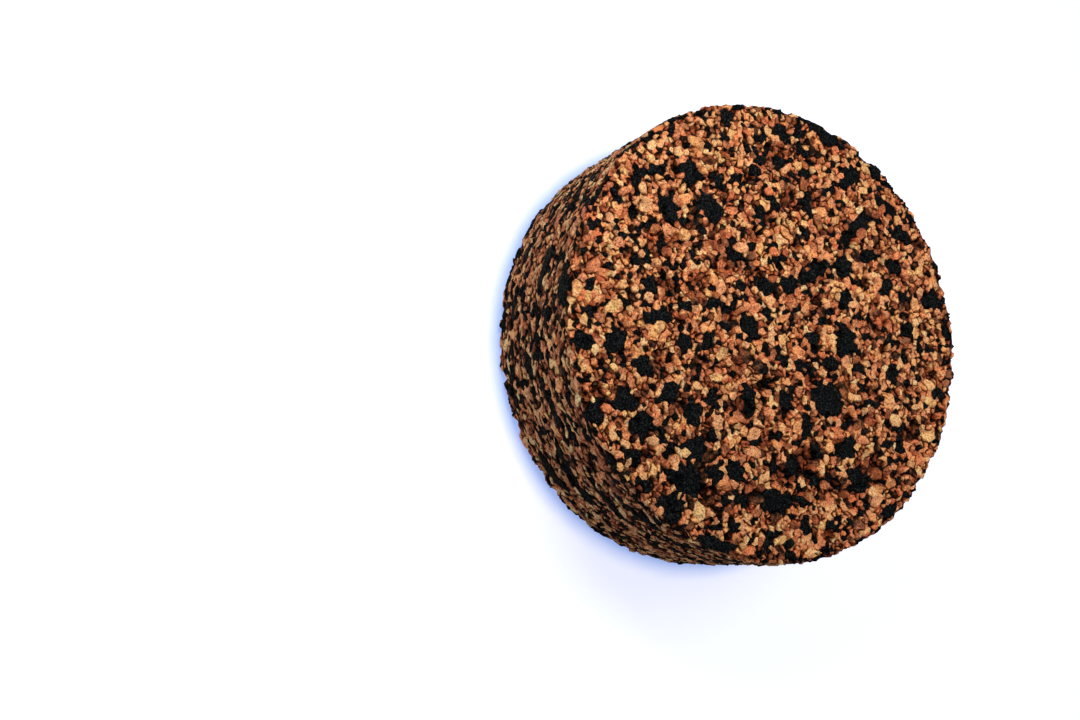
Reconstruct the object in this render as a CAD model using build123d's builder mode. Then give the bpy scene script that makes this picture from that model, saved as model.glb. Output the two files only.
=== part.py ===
"""Round stopper pressed from cork and rubber granules, in millimetres.

The stopper is one solid: a straight plug with broken edges. Its surface is granular, so both faces, the
wall and the rims carry shallow sockets where a granule has come away. The press has flattened the
granules along the axis, so the sockets of the wall are wide and low. The origin is the centre of the lower
face, and +Z is the axis of the plug.
"""
from build123d import *
import math
import os
import random

os.makedirs("parts", exist_ok=True)

# Plug
diameter = 50.0
thickness = 17.5
rim_break = 0.35

# Sockets in the faces: the usual one, and the wide one that a rubber lump leaves
face_granule = 1.5
rubber_lump = 3.1
face_socket_depth = 0.42
face_socket_pitch = 4.1
lump_share = 0.2
clear_centre = 2.6

# Sockets in the wall, where the granules lie flat
wall_granule_width = 2.9
wall_granule_height = 0.9
wall_socket_depth = 0.2
wall_socket_pitch = 6.2
wall_row_pitch = 3.5

# Nicks in the rims
rim_granule = 1.9
rim_socket_depth = 0.6
rim_socket_pitch = 6.2

# Irregularity of the granules
size_spread = 0.3
corner_spread = 0.24
place_spread = 0.3
lean_limit = 7.0
corner_counts = [4, 5, 5]
granule_seed = 41

radius = diameter / 2
circumference = math.pi * diameter
deepest_socket = (1 + size_spread) * max(face_socket_depth, wall_socket_depth, rim_socket_depth)
golden_angle = 360 * (1 - 2 / (1 + math.sqrt(5)))
dice = random.Random(granule_seed)


def vary(size):
    """A size made up to one spread smaller or larger."""
    return size * (1 + dice.uniform(-size_spread, size_spread))


def stray(pitch):
    """How far one granule lies from its even place, for places this far apart."""
    return pitch * dice.uniform(-place_spread, place_spread)


def granule_outline(width, height):
    """Corners of one broken granule, about width by height."""
    corners = dice.choice(corner_counts)
    first = dice.uniform(0, 1)
    outline = []
    for corner in range(corners):
        angle = 2 * math.pi * (first + corner + dice.uniform(-corner_spread, corner_spread)) / corners
        reach = (1 + dice.uniform(-corner_spread, corner_spread)) / 2
        outline.append((width * reach * math.cos(angle), height * reach * math.sin(angle)))
    return outline


def socket_floor(point, outward, along, depth):
    """Plane of a socket's floor, at its depth below a point of the surface and leaning a little."""
    floor = Plane(origin=point - outward * depth, x_dir=along, z_dir=outward)
    return floor.rotated((dice.uniform(-lean_limit, lean_limit), dice.uniform(-lean_limit, lean_limit), 0))


def face_sockets(level, outward):
    """Floor and outline of each socket in one face, spread like the seeds of a sunflower."""
    sockets = []
    count = round(math.pi * (radius / face_socket_pitch) ** 2)
    for index in range(count):
        even_distance = face_socket_pitch * math.sqrt((index + 0.5) / math.pi)
        distance = even_distance + stray(face_socket_pitch)
        width = vary(rubber_lump if dice.random() < lump_share else face_granule)
        if clear_centre < distance < radius - rim_break - width:
            point = Vector(distance, 0, level).rotate(Axis.Z, golden_angle * index)
            floor = socket_floor(point, outward, Vector(1, 0, 0), vary(face_socket_depth))
            sockets.append((floor, granule_outline(width, vary(width))))
    return sockets


def wall_sockets():
    """Floor and outline of each flattened socket, in staggered rows round the wall."""
    sockets = []
    rows = max(1, round(thickness / wall_row_pitch) - 1)
    count = round(circumference / wall_socket_pitch)
    for row in range(rows):
        for index in range(count):
            turn = (index + row / 2) * 360 / count + stray(360 / count)
            height = thickness * (row + 1) / (rows + 1) + stray(wall_row_pitch)
            outward = Vector(1, 0, 0).rotate(Axis.Z, turn)
            along = Vector(0, 1, 0).rotate(Axis.Z, turn)
            point = outward * radius + Vector(0, 0, height)
            floor = socket_floor(point, outward, along, wall_socket_depth)
            sockets.append((floor, granule_outline(vary(wall_granule_width), vary(wall_granule_height))))
    return sockets


def rim_sockets(level, axial):
    """Floor and outline of each nick in one rim, cut halfway between the face and the wall."""
    sockets = []
    count = round(circumference / rim_socket_pitch)
    for index in range(count):
        turn = index * 360 / count + stray(360 / count)
        outward = Vector(1, 0, axial).normalized().rotate(Axis.Z, turn)
        along = Vector(0, 1, 0).rotate(Axis.Z, turn)
        point = Vector(radius, 0, level).rotate(Axis.Z, turn)
        floor = socket_floor(point, outward, along, vary(rim_socket_depth))
        sockets.append((floor, granule_outline(vary(rim_granule), vary(rim_granule))))
    return sockets


with BuildPart() as stopper:
    # Straight plug with both rims broken, turned from half its section
    with BuildSketch(Plane.XZ) as half_section:
        with BuildLine():
            Polyline((0, 0), (radius, 0), (radius, thickness), (0, thickness), close=True)
        make_face()
        chamfer(half_section.vertices().group_by(Axis.X)[-1], length=rim_break)
    revolve(axis=Axis.Z)

    # Granular surface: each socket is cut from its leaning floor outwards
    sockets = face_sockets(thickness, Vector(0, 0, 1)) + face_sockets(0, Vector(0, 0, -1))
    sockets += wall_sockets()
    sockets += rim_sockets(thickness, 1) + rim_sockets(0, -1)
    for floor, outline in sockets:
        with BuildSketch(floor):
            Polygon(*outline)
    extrude(amount=2 * deepest_socket, mode=Mode.SUBTRACT)

stopper.part.label = "stopper"
export_step(stopper.part, "parts/stopper.step")
print(f"stopper: {stopper.part.volume / 1000:.2f} cm3, {len(sockets)} sockets")
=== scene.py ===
"""Looks of the cork and rubber stopper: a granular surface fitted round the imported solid, on a pale floor.

Lengths are in millimetres until they reach Blender, which takes metres, unless a comment says otherwise.
The surface is first spread over the whole plug in small cells. Neighbouring cells are joined into chips of
cork, and chips into lumps of rubber, and the mesh then sinks into a groove between each two granules.
"""
import math
import random

import bpy
from mathutils import Matrix, Quaternion, Vector
from mathutils.bvhtree import BVHTree
from mathutils.geometry import delaunay_2d_cdt
from mathutils.kdtree import KDTree

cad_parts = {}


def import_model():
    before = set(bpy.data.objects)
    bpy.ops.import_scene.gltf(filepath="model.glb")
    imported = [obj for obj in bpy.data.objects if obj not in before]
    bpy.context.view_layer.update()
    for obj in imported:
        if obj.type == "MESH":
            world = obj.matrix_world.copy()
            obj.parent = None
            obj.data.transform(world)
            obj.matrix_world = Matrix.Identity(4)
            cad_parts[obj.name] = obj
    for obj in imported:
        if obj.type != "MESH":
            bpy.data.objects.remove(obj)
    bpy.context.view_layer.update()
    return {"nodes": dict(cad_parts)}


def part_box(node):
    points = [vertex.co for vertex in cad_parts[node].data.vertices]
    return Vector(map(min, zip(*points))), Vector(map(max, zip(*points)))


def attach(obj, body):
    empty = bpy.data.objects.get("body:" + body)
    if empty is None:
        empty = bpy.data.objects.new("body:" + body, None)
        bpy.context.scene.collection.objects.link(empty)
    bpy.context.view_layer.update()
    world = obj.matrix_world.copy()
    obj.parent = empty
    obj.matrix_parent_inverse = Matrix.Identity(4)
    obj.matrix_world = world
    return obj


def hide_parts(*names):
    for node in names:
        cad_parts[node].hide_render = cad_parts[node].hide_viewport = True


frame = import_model()

MM = 0.001

# The plug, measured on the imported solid
low, high = (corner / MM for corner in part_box("stopper"))
RADIUS = (high.x - low.x) / 2
THICKNESS = high.z - low.z
RIM = RADIUS
FOOT = RADIUS + THICKNESS
CENTRE_BELOW = FOOT + RADIUS

# Cells, spread over a flat map of the section, and wide and low on the wall by WALL_SQUEEZE
FACE_CELL = 0.375
BASE_CELL = 0.74
WALL_CELL = 0.43
RIM_CELL = 0.44
WALL_SQUEEZE = 1.7
CELL_STRAY = 0.45
RIM_STRAY = 0.3
RIM_INSET = (0.3, 0.5)
EDGE_RADIUS = 0.65

# Limits: the height of a normal that still belongs to the wall, and the least distances and areas
WALL_NORMAL = 0.5
CENTRE_GAP = 1e-3
MERGE_DISTANCE = 1e-7
NO_AREA = 1e-12

# Cork chips: each size with the share of the cells that it is tried on, and the room and shape of a chip
CHIP_SIZES = ((0.76, 0.004), (0.58, 0.017), (0.44, 0.08), (0.32, 0.25), (0.23, 1.0))
SIZE_STRAY = (0.9, 1.1)
CHIP_SPACING = 0.7
CHIP_REACH = 0.6
CHIP_LIE = 1.95
CHIP_STRETCH = 2.1
WALL_GROWTH = 1.35

# Borders between chips: how far and how often they are moved, and where the surface is even enough for it
BORDER_SHIFT = 0.3
BORDER_ROUNDS = 3
STEEP_ENOUGH = 0.2
EVEN_ENOUGH = 0.95

# Relief: depths below the solid, tilts as rise over run, and the small chips that have come away
CHIP_DEPTHS = (0.0, 0.14)
WALL_CHIP_DEPTHS = (-0.1, 0.17)
CHIP_TILT = 0.24
LUMP_TILT_SHARE = 0.3
MISSING_CELLS = 5
MISSING_SHARE = 0.13
RIM_MISSING_SHARE = 0.3
RIM_REACH = 1.1
MISSING_DEPTHS = (0.18, 0.3)
# Painted shade of hollows: how dark a chip that has come away is made at its middle, and the darker share of
# the tones that it and a chip in a socket take
MISSING_SHADE = 0.75
SUNK_SHADE_TONES = 0.4
GROOVE_DEPTH = 0.12
DEEPEST_GROOVE = 3.0
GROOVE_RARITY = 3
ROUGHNESS_STEP = 0.055
PROUD_LIMIT = 0.2
SUNK_LIMIT = 0.32
PEAK_SHIFT = (0.6, 1.1)

# Sockets of the imported solid: how far they are searched for, and how deep one darkens a granule with
# painted shade
SOCKET_SEARCH = 1.5
SOCKET_DEPTH = 0.16

# Number for dark joints and painted shade, which darkens a point: its start and growth in a groove, where it
# is partly a dark joint and partly painted shade, and its growth in a socket, where it is painted shade
GAP_START = 0.12
GAP_GROWTH = 0.85
GROOVE_SOCKET_SHADE = 0.6
CHIP_SOCKET_SHADE = 0.8

# Rubber lumps and crumbs
LUMP_SPACING = 1.4
LUMP_SIZES = (0.35, 1.35)
LUMP_STRETCH = 1.5
LUMP_LIE = 1.4
LUMP_LEAN = 0.15
WALL_LUMP_GROWTH = 1.5
LUMP_ROOM = 1.25
LUMP_SEARCH = 1.2
RAGGED = (0.5, 0.95)
CRUMB_CELLS = 2
CRUMB_SHARE = 0.22
WALL_CRUMB_CELLS = 4
WALL_CRUMB_SHARE = 0.3

# Lumps placed on the photograph: middle, length and width in its pixels, and slope in degrees
LANDMARK_LUMPS = (
    ((822, 129), (60, 17), -31),
    ((738, 103), (16, 7), 8),
    ((727, 116), (17, 22), -20),
    ((783, 135), (27, 17), -15),
    ((801, 130), (12, 20), 0),
    ((803, 150), (12, 14), 0),
    ((701, 115), (16, 8), -15),
    ((650, 134), (12, 11), 40),
    ((661, 133), (11, 11), 40),
    ((671, 132), (10, 14), 0),
    ((691, 173), (26, 31), -15),
    ((720, 181), (12, 22), 10),
    ((740, 180), (19, 10), -35),
    ((723, 138), (12, 9), 0),
    ((747, 145), (8, 10), 0),
    ((808, 173), (27, 10), 8),
    ((850, 177), (27, 26), 30),
    ((828, 191), (15, 11), 20),
    ((877, 170), (14, 17), 0),
    ((893, 189), (9, 12), -40),
    ((668, 207), (27, 36), 5),
    ((711, 208), (46, 18), -62),
    ((701, 228), (12, 13), 0),
    ((730, 199), (11, 9), 0),
    ((764, 219), (11, 22), 0),
    ((807, 204), (14, 23), 5),
    ((735, 249), (19, 23), -20),
    ((864, 221), (14, 23), 15),
    ((851, 234), (38, 17), 38),
    ((885, 206), (27, 14), -15),
    ((902, 234), (26, 20), 0),
    ((871, 255), (23, 16), 15),
    ((895, 268), (23, 13), -15),
    ((817, 268), (22, 20), 30),
    ((844, 264), (18, 24), 0),
    ((803, 279), (16, 15), 30),
    ((766, 285), (22, 20), 0),
    ((790, 286), (17, 27), 10),
    ((650, 285), (16, 23), 0),
    ((679, 279), (10, 12), 0),
    ((651, 226), (12, 16), 0),
    ((650, 256), (10, 17), 0),
    ((684, 222), (12, 9), 0),
    ((932, 301), (26, 24), 0),
    ((885, 287), (17, 17), 0),
    ((901, 295), (12, 12), 0),
    ((592, 223), (17, 17), 0),
    ((633, 212), (24, 7), 85),
    ((651, 223), (11, 12), 0),
    ((639, 170), (9, 12), 0),
    ((648, 160), (12, 7), 0),
    ((658, 317), (32, 24), 10),
    ((618, 339), (24, 30), 20),
    ((684, 343), (17, 22), 10),
    ((582, 341), (26, 25), 0),
    ((752, 329), (21, 31), -10),
    ((707, 341), (9, 20), 0),
    ((813, 337), (12, 18), 0),
    ((845, 339), (20, 36), 0),
    ((764, 369), (17, 12), 0),
    ((858, 367), (20, 14), 0),
    ((831, 363), (20, 12), 0),
    ((627, 400), (34, 28), 0),
    ((597, 412), (24, 30), -40),
    ((693, 411), (19, 24), 30),
    ((713, 398), (18, 18), 0),
    ((748, 400), (18, 36), 0),
    ((829, 398), (38, 40), 0),
    ((808, 425), (17, 26), 20),
    ((850, 424), (19, 10), 0),
    ((848, 447), (24, 28), 0),
    ((777, 437), (15, 12), 0),
    ((642, 425), (30, 32), -30),
    ((697, 449), (30, 24), -20),
    ((670, 453), (18, 16), 0),
    ((688, 480), (40, 42), 0),
    ((719, 475), (18, 26), 0),
    ((736, 471), (22, 24), 0),
    ((776, 467), (14, 18), 0),
    ((795, 467), (16, 24), 20),
    ((776, 502), (42, 26), 0),
    ((744, 498), (26, 20), 0),
    ((860, 480), (26, 30), 0),
    ((644, 484), (16, 16), 0),
    ((677, 505), (22, 20), 0),
    ((769, 537), (11, 36), 0),
    ((725, 547), (30, 15), -10),
    ((733, 527), (15, 15), 0),
    ((684, 529), (13, 15), 0),
    ((665, 508), (12, 26), 0),
    ((890, 511), (20, 14), 25),
    ((832, 527), (15, 11), 0),
    ((826, 551), (14, 9), 15),
    ((806, 527), (11, 20), 0),
    ((634, 455), (24, 14), 0),
    ((815, 482), (16, 14), 0),
    ((674, 520), (15, 18), 0),
    ((706, 541), (20, 11), -20),
    ((712, 436), (14, 12), 0),
)

# Colours, as numbers from 0 to 255 on a screen, at places along a tone, a grain or a noise
CORK_TONES = (
    (0.0, (36, 29, 24)),
    (0.06, (100, 66, 48)),
    (0.16, (176, 110, 77)),
    (0.34, (226, 148, 104)),
    (0.60, (249, 177, 125)),
    (0.86, (254, 192, 134)),
    (1.0, (255, 204, 148)),
)
CHIP_HUES = ((0.1, (255, 222, 208)), (0.5, (255, 255, 255)), (0.9, (255, 238, 216)))
# Painted shade of the wall: a tint, a little different for each granule, that makes the wall darker and bluer
# than the face
WALL_SHADE_TINTS = ((0.1, (210, 230, 255)), (0.5, (228, 242, 255)), (0.9, (226, 238, 255)))
RUBBER_TONES = ((0.35, (1, 2, 3)), (0.52, (12, 14, 16)), (0.7, (58, 60, 58)))
# Tints towards the grooves: red-brown for chip edges and near black for joints, both partly painted shade
EDGE_AND_SHADE_TINT = (208, 166, 150)
JOINT_AND_SHADE_COLOUR = (5, 4, 4)

# Factors that the noises put on a colour, and shares of the edge tint and of the near black, by the number
# for dark joints and painted shade, at places along each
FINE_SHADES = ((0.36, 0.32), (0.48, 0.92), (0.62, 1.45))
PATCH_SHADES = ((0.32, 0.6), (0.48, 1.0), (0.68, 1.12))
PORE_SHADES = ((0.0, 0.35), (0.16, 1.0))
PORE_SHARE = 0.7
EDGE_AND_SHADE_SHARES = ((0.1, 0.0), (0.5, 0.75))
JOINT_AND_SHADE_SHARES = ((0.3, 0.0), (0.85, 0.94))

# Noises of the material, with scales in waves a millimetre, and its surface
FINE_NOISE = {"Scale": 5.2, "Detail": 3.0, "Roughness": 0.7}
COARSE_NOISE = {"Scale": 1.1, "Detail": 2.0, "Roughness": 0.5}
PATCH_NOISE = {"Scale": 0.9, "Detail": 3.0}
FLECK_SCALE = 4.5
GRAIN_SHIFT = 60.0
TONE_STRAY = 0.5
ROUGHNESS = 0.82
RUBBER_SMOOTHNESS = 0.3
BUMP_STRENGTH = 0.85
BUMP_HEIGHT = 0.14
FLECK_HEIGHT = 0.6
SPECULAR = 0.02

# Camera, measured on the photograph, with its clip range in metres
IMAGE_SIZE = (1080, 720)
FOCAL_PX = 1219
FACE_CENTRE = (777.0, 328.4)
FACE_DISTANCE = 132.9
FACE_TILT = 26.57
FACE_TURN = 18.51
SENSOR = 36.0
CLIP_RANGE = (0.001, 10)

# Light: a lamp of strength 1 renders white on a white surface that faces it
SKY_COLOUR = (0.80, 0.88, 1.0, 1)
SKY_STRENGTH = 0.21
WARM, ROSY = (1.0, 0.97, 0.92), (1.0, 0.95, 0.96)
LAMPS = {
    "key": {"towards": (-0.1, 0.6, 0.79), "distance": 95, "size": 36, "strength": 0.61, "tint": WARM},
    "right": {"towards": (0.75, 0.15, 0.64), "distance": 90, "size": 40, "strength": 0.36, "tint": WARM},
    "fill": {"towards": (-0.75, -0.35, 0.55), "distance": 200, "size": 80, "strength": 0.27, "tint": ROSY},
}

# Floor: its size and the distances of its far fade are in metres
FLOOR_SIZE = 4.0
FLOOR_ALBEDO = 0.8
FLOOR_SHADE = (218, 222, 245)
FLOOR_LIT = 0.66
FAR_FLOOR = (0.08, 0.25)
# Painted contact shadow next to the plug: the reach of its occlusion, its colour, the occlusion over which it
# fades, and its samples
CONTACT_REACH = 2.6
CONTACT_SHADE = (172, 194, 230)
CONTACT_RANGE = (0.5, 0.95)
CONTACT_SAMPLES = 16

GOLDEN_TURN = math.pi * (3 - math.sqrt(5))
SEED = 73
dice = random.Random(SEED)


def flat_radius(run):
    """Distance from the middle of the flat map, for a distance run from the upper centre down the section."""
    if run <= RIM:
        return run
    if run <= FOOT:
        return RADIUS * math.exp(WALL_SQUEEZE * (run - RIM) / RADIUS)
    return flat_radius(FOOT) * RADIUS / max(CENTRE_BELOW - run, CENTRE_GAP)


def run_at(flat):
    """The distance run down the section that lies at this distance from the middle of the flat map."""
    if flat <= RADIUS:
        return flat
    if flat <= flat_radius(FOOT):
        return RIM + RADIUS / WALL_SQUEEZE * math.log(flat / RADIUS)
    return CENTRE_BELOW - flat_radius(FOOT) * RADIUS / flat


def section(run):
    """Radius, height and outward direction of the section, with both rims rounded a little."""
    for corner, height, side in ((RIM, THICKNESS, 1), (FOOT, 0, -1)):
        past = run - corner + EDGE_RADIUS
        if 0 <= past <= 2 * EDGE_RADIUS:
            turn = math.pi / 2 * past / (2 * EDGE_RADIUS)
            if side < 0:
                turn = math.pi / 2 - turn
            out, up = math.sin(turn), side * math.cos(turn)
            centre = height - side * EDGE_RADIUS
            return RADIUS - EDGE_RADIUS * (1 - out), centre + EDGE_RADIUS * up, out, up
    if run < RIM:
        return run, THICKNESS, 0, 1
    if run < FOOT:
        return RADIUS, THICKNESS - (run - RIM), 1, 0
    return CENTRE_BELOW - run, 0, 0, -1


def surface(run, turn):
    """Point and outward normal of the plug's surface."""
    reach, height, out, up = section(run)
    c, s = math.cos(turn), math.sin(turn)
    return Vector((reach * c, reach * s, height)), Vector((out * c, out * s, up))


def on_wall(normal):
    """Whether a place with this outward normal belongs to the wall."""
    return abs(normal.z) < WALL_NORMAL


def spread_cells():
    """Middle of each cell, as a run down the section and a turn about the axis, and the pairs at the rims."""
    cells, pairs = [], []

    def add(run, turn, size_run, size_turn):
        """A cell near an even place, for cells of this size along the run and the turn."""
        run += size_run * dice.uniform(-CELL_STRAY, CELL_STRAY)
        turn += size_turn * dice.uniform(-CELL_STRAY, CELL_STRAY)
        cells.append((run, turn))

    inner = RADIUS - RIM_CELL
    count = round(math.pi * inner**2 / FACE_CELL**2)
    for index in range(count):
        run = inner * math.sqrt((index + 0.5) / count)
        add(run, index * GOLDEN_TURN, FACE_CELL, FACE_CELL / run)

    count = round(math.pi * inner**2 / BASE_CELL**2)
    for index in range(count):
        reach = inner * math.sqrt((index + 0.5) / count)
        add(CENTRE_BELOW - reach, index * GOLDEN_TURN, BASE_CELL, BASE_CELL / reach)

    margin = RIM_CELL / WALL_SQUEEZE
    height = THICKNESS - 2 * margin
    count = round(2 * math.pi * RADIUS * height / WALL_CELL**2)
    tall, wide = WALL_CELL / math.sqrt(WALL_SQUEEZE), WALL_CELL * math.sqrt(WALL_SQUEEZE)
    for index in range(count):
        run = RIM + margin + height * (index + 0.5) / count
        add(run, index * GOLDEN_TURN, tall, wide / RADIUS)

    # A pair of cells faces each other across a rim, so that the rim runs between them
    rim_count = round(2 * math.pi * RADIUS / RIM_CELL)
    for corner in (RIM, FOOT):
        inward = -1 if corner == RIM else 1
        for index in range(rim_count):
            turn = 2 * math.pi * (index + dice.uniform(-RIM_STRAY, RIM_STRAY)) / rim_count
            away = RIM_CELL * dice.uniform(*RIM_INSET)
            pairs.append((len(cells), len(cells) + 1))
            cells.append((corner + inward * away, turn))
            cells.append((corner - inward * away / WALL_SQUEEZE, turn))
    return cells, pairs


def flat_point(run, turn):
    """Place of a surface point on the flat map."""
    reach = flat_radius(run)
    return Vector((reach * math.cos(turn), reach * math.sin(turn)))


def triangulate(flat_points):
    """Triangles between neighbouring cells, closed round the lower centre by one more cell there."""
    triangles = [tuple(face) for face in delaunay_2d_cdt(flat_points, [], [], 0, MERGE_DISTANCE)[2]]
    centre = len(flat_points)
    sides = {(t[i], t[(i + 1) % 3]) for t in triangles for i in range(3)}
    outer = [(b, a) for a, b in sides if (b, a) not in sides]
    return triangles + [(a, b, centre) for a, b in outer]


def circumcentre(a, b, c):
    """Centre of the circle through three points of a plane."""
    ab, ac = b - a, c - a
    twice_area = 2 * (ab.x * ac.y - ab.y * ac.x)
    if abs(twice_area) < NO_AREA:
        return (a + b + c) / 3
    p, q = ab.length_squared, ac.length_squared
    return a + Vector((ac.y * p - ab.y * q, ab.x * q - ac.x * p)) / twice_area


def rings_of(triangles, cell_count):
    """Round each cell, the triangles in order, each with the neighbour that comes before it."""
    third = {}
    for index, (a, b, c) in enumerate(triangles):
        third[a, b] = (index, c)
        third[b, c] = (index, a)
        third[c, a] = (index, b)
    first = {}
    for cell, neighbour in third:
        first.setdefault(cell, neighbour)
    rings = []
    for cell in range(cell_count):
        ring, neighbour = [], first[cell]
        while not ring or neighbour != first[cell]:
            index, following = third[cell, neighbour]
            ring.append((index, neighbour))
            neighbour = following
        rings.append(ring)
    return rings


def landmark_point(pixel):
    """Point of the upper face that shows at a pixel of the photograph."""
    eye, turn = camera_place()
    ray = turn @ Vector((pixel[0] - IMAGE_SIZE[0] / 2, IMAGE_SIZE[1] / 2 - pixel[1], -FOCAL_PX))
    return eye + ray * ((THICKNESS - eye.z) / ray.z)


def landmark_lump(pixel, size, slope):
    """Middle and two half axes of a lump on the upper face, from its place in the photograph."""
    middle = landmark_point(pixel)
    way = math.radians(slope)
    along, across = Vector((math.cos(way), -math.sin(way))), Vector((math.sin(way), math.cos(way)))
    long = landmark_point(Vector(pixel) + along * size[0] / 2) - middle
    short = landmark_point(Vector(pixel) + across * size[1] / 2) - middle
    return middle, long, short


def strewn_lump(middle, normal):
    """Middle and two half axes of a lump at any place, lying flat where that is the wall."""
    size = LUMP_SIZES[0] + (LUMP_SIZES[1] - LUMP_SIZES[0]) * dice.random() ** 2
    stretch = dice.uniform(1, LUMP_STRETCH)
    if on_wall(normal):
        stretch *= LUMP_LIE
        size *= WALL_LUMP_GROWTH
        along, lean = Vector((0, 0, 1)).cross(normal).normalized(), dice.gauss(0, LUMP_LEAN)
    else:
        along, lean = normal.orthogonal().normalized(), dice.uniform(0, math.pi)
    along.rotate(Quaternion(normal, lean))
    return middle, along * size * stretch, normal.cross(along) * size / stretch


def rubber_lumps(middles, normals):
    """Numbers of the chips that make up each rubber lump: those listed first, then others strewn."""
    tree = KDTree(len(middles))
    for index, point in enumerate(middles):
        tree.insert(point, index)
    tree.balance()
    places = [landmark_lump(*lump) for lump in LANDMARK_LUMPS]
    by_eye = len(places)
    area = 2 * math.pi * RADIUS * (RADIUS + THICKNESS)
    for _ in range(round(area / LUMP_SPACING**2)):
        chip = dice.randrange(len(middles))
        places.append(strewn_lump(middles[chip], normals[chip]))
    taken, lumps, kept = set(), [], []
    for number, (middle, long, short) in enumerate(places):
        size = math.sqrt(long.length * short.length)
        crowded = any((middle - other).length < LUMP_ROOM * (size + room) for other, room in kept)
        if number >= by_eye and crowded:
            continue
        kept.append((middle, size))
        lump = []
        for point, chip, _ in tree.find_range(middle, LUMP_SEARCH * max(long.length, short.length)):
            offset = point - middle
            lengthwise = offset.dot(long) / long.length_squared
            crosswise = offset.dot(short) / short.length_squared
            if lengthwise**2 + crosswise**2 < dice.uniform(*RAGGED) and chip not in taken:
                taken.add(chip)
                lump.append(chip)
        if lump:
            lumps.append(lump)
    return lumps


def material_point(point):
    """Where a point lies if the flattened granules of the wall are stretched until they are round."""
    return Vector((point.x, point.y, point.z * CHIP_LIE))


def press(point, seed):
    """How hard a chip presses at a point of the stretched material: the smaller, the harder."""
    middle, room, along = seed
    offset = point - middle
    return offset.length_squared - offset.dot(along) ** 2 - room**2


def press_slope(point, seed):
    """The way in which that number grows, with its rate as the length."""
    middle, _, along = seed
    offset = point - middle
    return 2 * (offset - along * offset.dot(along))


def chip_seed(point, normal, room):
    """A chip's middle, its smaller size, and its long way, the longer the more it is stretched."""
    stretch = dice.uniform(1, CHIP_STRETCH)
    along = normal.orthogonal().normalized()
    along.rotate(Quaternion(normal, dice.uniform(0, math.pi)))
    return material_point(point), room / math.sqrt(stretch), along * math.sqrt(1 - 1 / stretch**2)


def chip_seeds(points, normals, tree):
    """The seeds of all chips, thrown at random with room between them, the largest sizes first."""
    seeds = []
    for size, share in CHIP_SIZES:
        blocked = set()
        for middle, room, along in seeds:
            # The size that the chip had before it was stretched
            whole = room / (1 - along.length_squared) ** 0.25
            blocked.update(found[1] for found in tree.find_range(middle, CHIP_SPACING * (whole + size)))
        for cell in dice.sample(range(len(points)), round(share * len(points))):
            if cell in blocked:
                continue
            grown = size * (WALL_GROWTH if on_wall(normals[cell]) else 1)
            room = grown * dice.uniform(*SIZE_STRAY)
            seeds.append(chip_seed(points[cell], normals[cell], room))
            near = tree.find_range(seeds[-1][0], CHIP_SPACING * (room + grown))
            blocked.update(found[1] for found in near)
    return seeds


def pressed_chips(points, normals, pairs):
    """Cells of each chip, and each chip's seed: a cell belongs to the chip that presses hardest on it."""
    tree = KDTree(len(points))
    for index, point in enumerate(points):
        tree.insert(material_point(point), index)
    tree.balance()
    seeds = chip_seeds(points, normals, tree)
    nearest = {}
    for number, seed in enumerate(seeds):
        for point, cell, _ in tree.find_range(seed[0], CHIP_STRETCH * seed[1] + CHIP_REACH):
            push = press(point, seed)
            if cell not in nearest or push < nearest[cell][0]:
                nearest[cell] = (push, number)
    for first, second in pairs:
        nearest[second] = nearest[first]

    # A cell out of every chip's reach is a chip of its own
    chips = [[] for _ in seeds]
    for cell in range(len(points)):
        if cell not in nearest:
            nearest[cell] = (0, len(chips))
            seeds.append((material_point(points[cell]), CHIP_SIZES[-1][0], Vector((0, 0, 0))))
            chips.append([])
        chips[nearest[cell][1]].append(cell)
    kept = [number for number, chip in enumerate(chips) if chip]
    return [chips[number] for number in kept], [seeds[number] for number in kept]


def straightened(point, chips):
    """The point of a ragged border, moved in a few steps to where the chips that meet there press alike."""
    spot = material_point(point)
    borders = [(chips[0], chips[1])] if len(chips) == 2 else list(zip(chips, chips[1:] + chips[:1]))
    for _ in range(BORDER_ROUNDS):
        for first, second in borders:
            slope = press_slope(spot, first) - press_slope(spot, second)
            if slope.length > STEEP_ENOUGH:
                spot -= slope * ((press(spot, first) - press(spot, second)) / slope.length_squared)
    moved = Vector((spot.x, spot.y, spot.z / CHIP_LIE)) - point
    if moved.length > BORDER_SHIFT:
        moved *= BORDER_SHIFT / moved.length
    return point + moved


def place_on(point, normal):
    """The nearest point of the even surface, and its normal, for a point moved along that surface."""
    turn = math.atan2(point.y, point.x)
    if on_wall(normal):
        return surface(min(max(RIM + THICKNESS - point.z, RIM), FOOT), turn)
    reach = min(point.xy.length, RADIUS)
    return surface(reach if normal.z > 0 else CENTRE_BELOW - reach, turn)


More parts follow.
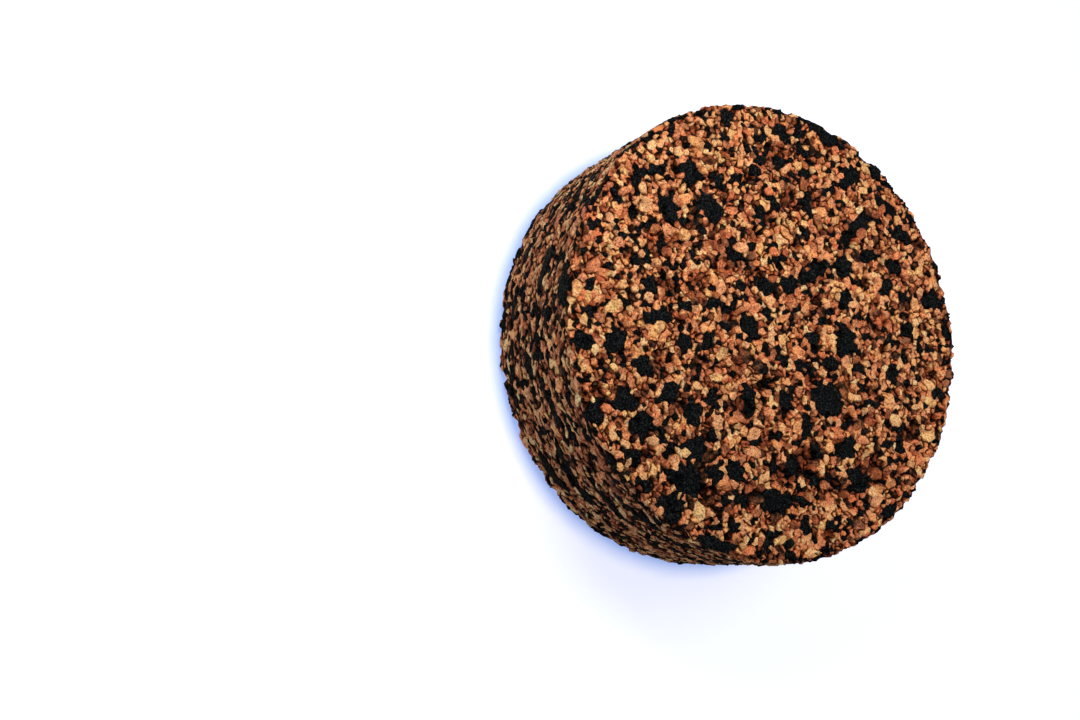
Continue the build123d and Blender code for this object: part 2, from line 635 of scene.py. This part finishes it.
def granule(points, depths, cells, is_lump):
    """Looks and lie of one granule: its kind, tone, depth and slope."""
    middle = sum((points[cell] for cell in cells), Vector()) / len(cells)
    in_socket = sum(depths[cell] for cell in cells) / len(cells) > SOCKET_DEPTH
    in_wall = 0 < middle.z < THICKNESS and middle.xy.length > RADIUS - EDGE_RADIUS
    crumb, share = (WALL_CRUMB_CELLS, WALL_CRUMB_SHARE) if in_wall else (CRUMB_CELLS, CRUMB_SHARE)
    is_rubber = is_lump or (len(cells) <= crumb and dice.random() < share)
    slope = Vector([dice.gauss(0, 1) for _ in range(3)])
    depth = dice.uniform(*(WALL_CHIP_DEPTHS if in_wall else CHIP_DEPTHS))
    from_rim = math.hypot(RADIUS - middle.xy.length, min(middle.z, THICKNESS - middle.z))
    missing_share = RIM_MISSING_SHARE if from_rim < RIM_REACH else MISSING_SHARE
    missing = not is_rubber and len(cells) <= MISSING_CELLS and dice.random() < missing_share
    if missing:
        depth = dice.uniform(*MISSING_DEPTHS)
    return {
        "middle": middle,
        "depth": depth,
        # Painted shade of a hollow: a chip that has come away is darkened at its middle, and it and a chip in
        # a socket take only darker tones
        "shade": MISSING_SHADE * dice.random() if missing else 0.0,
        "slope": slope * CHIP_TILT * (LUMP_TILT_SHARE if is_lump else 1),
        "rubber": float(is_rubber),
        "tone": dice.random() * (SUNK_SHADE_TONES if missing or in_socket else 1),
        "grain": dice.random(),
    }


def lift(here, point):
    """Height of a granule's surface over the solid at a point."""
    slope = here["slope"].dot(point - here["middle"])
    height = slope - here["depth"] + dice.uniform(-ROUGHNESS_STEP, ROUGHNESS_STEP)
    return max(-SUNK_LIMIT, min(PROUD_LIMIT, height))


def packed_relief():
    """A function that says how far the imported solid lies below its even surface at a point."""
    data = frame["nodes"]["stopper"].data
    corners = [vertex.co / MM for vertex in data.vertices]
    solid = BVHTree.FromPolygons(corners, [polygon.vertices for polygon in data.polygons])

    def socket_depth(point, normal):
        """The depth at a point, measured along the outward normal there."""
        hit = solid.ray_cast(point + normal * SOCKET_SEARCH, -normal, 2 * SOCKET_SEARCH)
        return max(0.0, hit[3] - SOCKET_SEARCH) if hit[0] else 0.0

    return socket_depth


def sorted_granules(points, normals, depths, pairs):
    """All granules, the granule and the chip that each cell belongs to, and each chip's seed."""
    chips, seeds = pressed_chips(points, normals, pairs)
    middles = [sum((points[cell] for cell in chip), Vector()) / len(chip) for chip in chips]
    lumps = rubber_lumps(middles, [normals[chip[0]] for chip in chips])
    in_lump = {chip for lump in lumps for chip in lump}
    granules, granule_of, chip_of = [], [0] * len(points), [0] * len(points)
    for members in lumps + [[chip] for chip in range(len(chips)) if chip not in in_lump]:
        for chip in members:
            for cell in chips[chip]:
                granule_of[cell], chip_of[cell] = len(granules), chip
        joined = [cell for chip in members for cell in chips[chip]]
        granules.append(granule(points, depths, joined, members[0] in in_lump))
    return granules, granule_of, chip_of, seeds


def corner_place(corners, points, flat):
    """Point and outward normal of the even surface where three cells meet."""
    if corners[2] == len(points) - 1:
        a, b = (points[corner].xy for corner in corners[:2])
        centre = circumcentre(a, b, Vector((0, 0)))
        return surface(CENTRE_BELOW - centre.length, math.atan2(centre.y, centre.x))
    centre = circumcentre(*(flat[corner] for corner in corners))
    return surface(run_at(centre.length), math.atan2(centre.y, centre.x))


def groove(grooves, owners):
    """How sunk the grooves between these granules are on average: each keeps one depth all along it."""
    pairs = [(a, b) for a in owners for b in owners if a < b]
    sunk = [grooves.setdefault(pair, DEEPEST_GROOVE * dice.random() ** GROOVE_RARITY) for pair in pairs]
    return sum(sunk) / len(sunk)


class Skin:
    """The mesh while it grows: vertices with their darkening by dark joints and painted shade, and faces with
    the looks of their granule.
    """

    def __init__(self):
        self.vertices, self.gaps, self.faces = [], [], []
        self.looks = {"tone": [], "rubber": [], "grain": [], "wall": []}

    def vertex(self, point, gap):
        """Number of a new vertex, which never lies below the floor."""
        point.z = max(point.z, 0)
        self.vertices.append(point * MM)
        self.gaps.append(min(1, gap))
        return len(self.vertices) - 1

    def face(self, corners, owner, normal):
        """Adds one face of a granule, at a place with this normal."""
        self.faces.append(corners)
        for label in ("tone", "rubber", "grain"):
            self.looks[label].append(owner[label])
        self.looks["wall"].append(float(on_wall(normal)))

    def faces_out(self, corners, normal):
        """Whether a triangle on these vertices would face outwards."""
        a, b, c = (self.vertices[corner] for corner in corners)
        return (b - a).cross(c - a).dot(normal) > 0

    def mesh(self, name):
        """The finished mesh, with its numbers for the material."""
        mesh = bpy.data.meshes.new(name)
        mesh.from_pydata(self.vertices, [], self.faces)
        mesh.attributes.new("gap", "FLOAT", "POINT").data.foreach_set("value", self.gaps)
        for label, values in self.looks.items():
            mesh.attributes.new(label, "FLOAT", "FACE").data.foreach_set("value", values)
        mesh.validate()
        mesh.update()
        return mesh


def granular_mesh(name):
    """Closed mesh of the whole plug: each granule a few raised cells, with grooves between granules."""
    cells, pairs = spread_cells()
    flat = [flat_point(run, turn) for run, turn in cells]
    triangles = triangulate(flat)
    cells.append((CENTRE_BELOW, 0))
    flat.append(Vector((0, 0)))
    places = [surface(run, turn) for run, turn in cells]
    points = [place[0] for place in places]
    normals = [place[1] for place in places]
    socket_depth = packed_relief()
    depths = [socket_depth(point, normal) for point, normal in places]
    granules, granule_of, chip_of, seeds = sorted_granules(points, normals, depths, pairs)
    skin, grooves = Skin(), {}

    # Corners between cells: level with the granule inside it, and sunk between granules
    for corners in triangles:
        point, normal = corner_place(corners, points, flat)
        owners = sorted({granule_of[corner] for corner in corners})
        meeting = [seeds[chip] for chip in sorted({chip_of[corner] for corner in corners})]
        even = all(normal.dot(normals[corner]) > EVEN_ENOUGH for corner in corners)
        if len(owners) > 1 and even:
            point, normal = place_on(straightened(point, meeting), normal)
        # A socket sinks a corner and darkens it with painted shade, by its depth
        depth = socket_depth(point, normal)
        heights = [lift(granules[owner], point) for owner in owners]
        if len(owners) == 1:
            skin.vertex(point + normal * (heights[0] - depth), depth)
        else:
            sunk = groove(grooves, owners)
            height = sum(heights) / len(heights) - GROOVE_DEPTH * sunk
            # The groove's darkening is partly a dark joint and partly painted shade, with painted shade for a
            # socket under it
            gap = GAP_START + GAP_GROWTH * sunk + GROOVE_SOCKET_SHADE * depth
            skin.vertex(point + normal * (height - depth), gap)

    # Each cell has a middle point, level with its granule
    rings = rings_of(triangles, len(cells))
    peaks = []
    for cell, ring in enumerate(rings):
        here = granules[granule_of[cell]]
        middle = sum((skin.vertices[index] for index, _ in ring), Vector()) / len(ring) / MM
        across = middle - points[cell]
        across -= normals[cell] * across.dot(normals[cell])
        top = points[cell] + across * dice.uniform(*PEAK_SHIFT)
        height = lift(here, top) - depths[cell]
        # Painted shade at a cell's middle, where its chip has come away or lies over a socket
        gap = here["shade"] + CHIP_SOCKET_SHADE * depths[cell]
        peaks.append(skin.vertex(top + normals[cell] * height, gap))

    # Two neighbours of one granule join across their border, and others meet in a groove
    for cell, ring in enumerate(rings):
        here, normal = granules[granule_of[cell]], normals[cell]
        for place, (index, neighbour) in enumerate(ring):
            before = ring[place - 1][0]
            left = [peaks[cell], before, peaks[neighbour]]
            right = [peaks[cell], peaks[neighbour], index]
            joined = granule_of[neighbour] == granule_of[cell]
            if not (joined and skin.faces_out(left, normal) and skin.faces_out(right, normal)):
                skin.face([peaks[cell], before, index], here, normal)
            elif cell < neighbour:
                skin.face(left, here, normals[neighbour])
                skin.face(right, here, normals[neighbour])
    return skin.mesh(name)


def colour(red, green, blue):
    """Linear colour, from the three numbers that it has on a screen."""
    def linear(value):
        """The light that one of the numbers stands for."""
        value /= 255
        return value / 12.92 if value <= 0.04045 else ((value + 0.055) / 1.055) ** 2.4
    return linear(red), linear(green), linear(blue), 1


def grey(value):
    """Linear colour with no hue."""
    return value, value, value, 1


class Nodes:
    """Short ways to add and link the nodes of one material."""

    def __init__(self, material):
        self.tree = material.node_tree
        self.tree.nodes.clear()

    def add(self, kind, settings=(), **inputs):
        """One node, with its settings, and its inputs as numbers or as sockets of other nodes."""
        node = self.tree.nodes.new(kind)
        for name, value in dict(settings).items():
            setattr(node, name, value)
        for name, value in inputs.items():
            key = int(name[1:]) if name[1:].isdigit() else name.replace("_", " ")
            if isinstance(value, bpy.types.NodeSocket):
                self.tree.links.new(value, node.inputs[key])
            else:
                node.inputs[key].default_value = value
        return node

    def maths(self, operation, first, second=0.0, clamp=False):
        """One sum of two numbers or sockets."""
        settings = {"operation": operation, "use_clamp": clamp}
        return self.add("ShaderNodeMath", settings, i0=first, i1=second).outputs[0]

    def blend(self, mode, share, first, second):
        """Two colours laid over each other."""
        settings = {"data_type": "RGBA", "blend_type": mode, "clamp_result": True}
        return self.add("ShaderNodeMix", settings, i0=share, i6=first, i7=second).outputs[2]

    def noise(self, place, settings):
        """A soft noise from 0 to 1."""
        return self.add("ShaderNodeTexNoise", {}, Vector=place, **settings).outputs["Fac"]

    def ramp(self, value, stops):
        """A run of colours or greys, from places along the value and what it is there."""
        node = self.add("ShaderNodeValToRGB", {}, i0=value)
        points = node.color_ramp.elements
        while len(points) < len(stops):
            points.new(1)
        for point, (place, tint) in zip(points, stops):
            point.position = place
            point.color = colour(*tint) if isinstance(tint, tuple) else grey(tint)
        return node.outputs[0]

    def attribute(self, name):
        """A number that the mesh carries."""
        return self.add("ShaderNodeAttribute", {"attribute_name": name}).outputs["Fac"]


def granular_material():
    """Cork chips of many browns and black rubber lumps, darker in the grooves between them with dark joints
    and painted shade, and with painted shade in sockets and where chips have come away.
    """
    material = bpy.data.materials.new("bonded_cork_and_rubber")
    material.use_nodes = True
    nodes = Nodes(material)
    grain, gap, is_rubber = (nodes.attribute(label) for label in ("grain", "gap", "rubber"))

    # The noises start at another place in each granule, apart from the one that makes patches of several
    place = nodes.add("ShaderNodeTexCoord").outputs["Object"]
    millimetres = nodes.add("ShaderNodeVectorMath", {"operation": "SCALE"}, i0=place, Scale=1 / MM).outputs[0]
    shift = nodes.maths("MULTIPLY", grain, GRAIN_SHIFT)
    spot = nodes.add("ShaderNodeVectorMath", {"operation": "ADD"}, i0=millimetres, i1=shift).outputs[0]
    fine = nodes.noise(spot, FINE_NOISE)
    coarse = nodes.noise(spot, COARSE_NOISE)
    patches = nodes.noise(millimetres, PATCH_NOISE)
    flecks = nodes.add("ShaderNodeTexVoronoi", {}, Vector=spot, Scale=FLECK_SCALE).outputs["Distance"]

    stray = nodes.maths("MULTIPLY", nodes.maths("SUBTRACT", coarse, 0.5), TONE_STRAY)
    tone = nodes.maths("ADD", nodes.attribute("tone"), stray, clamp=True)
    cork = nodes.ramp(tone, CORK_TONES)
    for share, tint in (
        (1.0, nodes.ramp(grain, CHIP_HUES)),
        (1.0, nodes.ramp(fine, FINE_SHADES)),
        (1.0, nodes.ramp(patches, PATCH_SHADES)),
        # Painted shade: the wall darker and bluer than the face
        (nodes.attribute("wall"), nodes.ramp(grain, WALL_SHADE_TINTS)),
        (PORE_SHARE, nodes.ramp(flecks, PORE_SHADES)),
        # Red-brown towards the grooves, partly the chips' edges and partly painted shade
        (nodes.ramp(gap, EDGE_AND_SHADE_SHARES), colour(*EDGE_AND_SHADE_TINT)),
    ):
        cork = nodes.blend("MULTIPLY", share, cork, tint)

    rubber = nodes.ramp(fine, RUBBER_TONES)
    body = nodes.blend("MIX", is_rubber, cork, rubber)
    # Near black in the grooves, partly dark joints and partly painted shade, and painted shade in sockets and
    # where chips have come away
    body = nodes.blend("MIX", nodes.ramp(gap, JOINT_AND_SHADE_SHARES), body, colour(*JOINT_AND_SHADE_COLOUR))

    roughness = nodes.maths("SUBTRACT", ROUGHNESS, nodes.maths("MULTIPLY", is_rubber, RUBBER_SMOOTHNESS))
    height = nodes.maths("ADD", fine, nodes.maths("MULTIPLY", flecks, FLECK_HEIGHT))
    bump = nodes.add(
        "ShaderNodeBump", {}, Strength=BUMP_STRENGTH, Distance=BUMP_HEIGHT * MM, Height=height
    ).outputs[0]
    shader = nodes.add("ShaderNodeBsdfPrincipled", {}, Base_Color=body, Roughness=roughness, Normal=bump)
    shader.inputs["Specular IOR Level"].default_value = SPECULAR
    output = nodes.add("ShaderNodeOutputMaterial")
    nodes.tree.links.new(shader.outputs[0], output.inputs[0])
    return material


def stopper():
    """The dressed plug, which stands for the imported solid."""
    piece = bpy.data.objects.new("stopper_granules", granular_mesh("stopper_granules"))
    bpy.context.scene.collection.objects.link(piece)
    piece.data.materials.append(granular_material())
    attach(piece, "root")
    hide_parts("stopper")


def floor():
    """A plain pale floor, white to the camera where nothing shades it, with a painted contact shadow next to
    the plug.
    """
    mesh = bpy.data.meshes.new("floor")
    half = FLOOR_SIZE / 2
    corners = [(-half, -half, 0), (half, -half, 0), (half, half, 0), (-half, half, 0)]
    mesh.from_pydata(corners, [], [(0, 1, 2, 3)])
    obj = bpy.data.objects.new("floor", mesh)
    bpy.context.scene.collection.objects.link(obj)
    material = bpy.data.materials.new("pale_floor")
    material.use_nodes = True
    nodes = Nodes(material)
    plain = nodes.add("ShaderNodeBsdfDiffuse", {}, Color=grey(FLOOR_ALBEDO)).outputs[0]
    # Painted contact shadow: where the plug hides the floor nearby, its colour turns darker and bluer
    reach = CONTACT_REACH * MM
    occlusion = nodes.add("ShaderNodeAmbientOcclusion", {"samples": CONTACT_SAMPLES}, Distance=reach)
    closed, free = CONTACT_RANGE
    contact = nodes.ramp(occlusion.outputs["AO"], [(closed, CONTACT_SHADE), (free, 1.0)])
    place = nodes.add("ShaderNodeTexCoord").outputs["Object"]
    away = nodes.add("ShaderNodeVectorMath", {"operation": "LENGTH"}, i0=place).outputs["Value"]
    near, far = FAR_FLOOR
    base = nodes.ramp(away, [(near, FLOOR_SHADE), (far, 1.0)])
    tint = nodes.blend("MULTIPLY", 1.0, contact, base)
    shade = nodes.add("ShaderNodeEmission", {}, Color=tint, Strength=1.0).outputs[0]
    light = nodes.blend("MULTIPLY", 1.0, contact, grey(FLOOR_LIT))
    lit = nodes.add("ShaderNodeBsdfDiffuse", {}, Color=light).outputs[0]
    seen = nodes.add("ShaderNodeAddShader", {}, i0=shade, i1=lit).outputs[0]
    camera = nodes.add("ShaderNodeLightPath").outputs["Is Camera Ray"]
    mix = nodes.add("ShaderNodeMixShader", {}, i0=camera, i1=plain, i2=seen).outputs[0]
    output = nodes.add("ShaderNodeOutputMaterial")
    nodes.tree.links.new(mix, output.inputs[0])
    mesh.materials.append(material)


def world():
    """Even, slightly cool light from all round, white where the camera sees it."""
    scene_world = bpy.data.worlds.new("studio")
    bpy.context.scene.world = scene_world
    scene_world.use_nodes = True
    nodes = Nodes(scene_world)
    even = nodes.add("ShaderNodeBackground", {}, Color=SKY_COLOUR, Strength=SKY_STRENGTH).outputs[0]
    white = nodes.add("ShaderNodeBackground", {}, Color=grey(1.0), Strength=1.0).outputs[0]
    camera = nodes.add("ShaderNodeLightPath").outputs["Is Camera Ray"]
    mix = nodes.add("ShaderNodeMixShader", {}, i0=camera, i1=even, i2=white).outputs[0]
    output = nodes.add("ShaderNodeOutputWorld")
    nodes.tree.links.new(mix, output.inputs[0])


def lamp(name, towards, distance, size, strength, tint):
    """A square soft lamp, in a direction given along the photograph's right, up and towards the camera."""
    light = bpy.data.lights.new(name, "AREA")
    light.shape, light.size = "SQUARE", size * MM
    light.energy = strength * (math.pi * distance * MM) ** 2
    light.color = tint
    obj = bpy.data.objects.new(name, light)
    bpy.context.scene.collection.objects.link(obj)
    middle = Vector((0, 0, THICKNESS / 2)) * MM
    direction = (camera_place()[1] @ Vector(towards)).normalized()
    obj.location = middle + direction * distance * MM
    obj.rotation_mode = "QUATERNION"
    obj.rotation_quaternion = (-direction).to_track_quat("-Z", "Y")


def camera_place():
    """The camera's eye, and the turn from its right, up and back to the plug's own axes."""
    tilt, turn = math.radians(FACE_TILT), math.radians(FACE_TURN)
    axis = Vector((math.sin(tilt) * math.cos(turn), math.sin(tilt) * math.sin(turn), math.cos(tilt)))
    ray = Vector((FACE_CENTRE[0] - IMAGE_SIZE[0] / 2, IMAGE_SIZE[1] / 2 - FACE_CENTRE[1], -FOCAL_PX))
    centre = ray.normalized() * FACE_DISTANCE
    away = centre - axis * centre.dot(axis)
    forward = away.normalized()
    to_camera = Matrix((forward.cross(axis), forward, axis)).transposed()
    turn_back = to_camera.transposed()
    return Vector((0, 0, THICKNESS)) - turn_back @ centre, turn_back


def camera():
    """The camera, where the photograph's was."""
    data = bpy.data.cameras.new("camera")
    data.sensor_width = SENSOR
    data.lens = SENSOR * FOCAL_PX / IMAGE_SIZE[0]
    data.clip_start, data.clip_end = CLIP_RANGE
    obj = bpy.data.objects.new("camera", data)
    bpy.context.scene.collection.objects.link(obj)
    eye, turn = camera_place()
    obj.matrix_world = Matrix.Translation(eye * MM) @ turn.to_4x4()
    bpy.context.scene.camera = obj


stopper()
floor()
world()
for lamp_name, settings in LAMPS.items():
    lamp(lamp_name, **settings)
camera()
bpy.context.scene.view_settings.view_transform = "Standard"
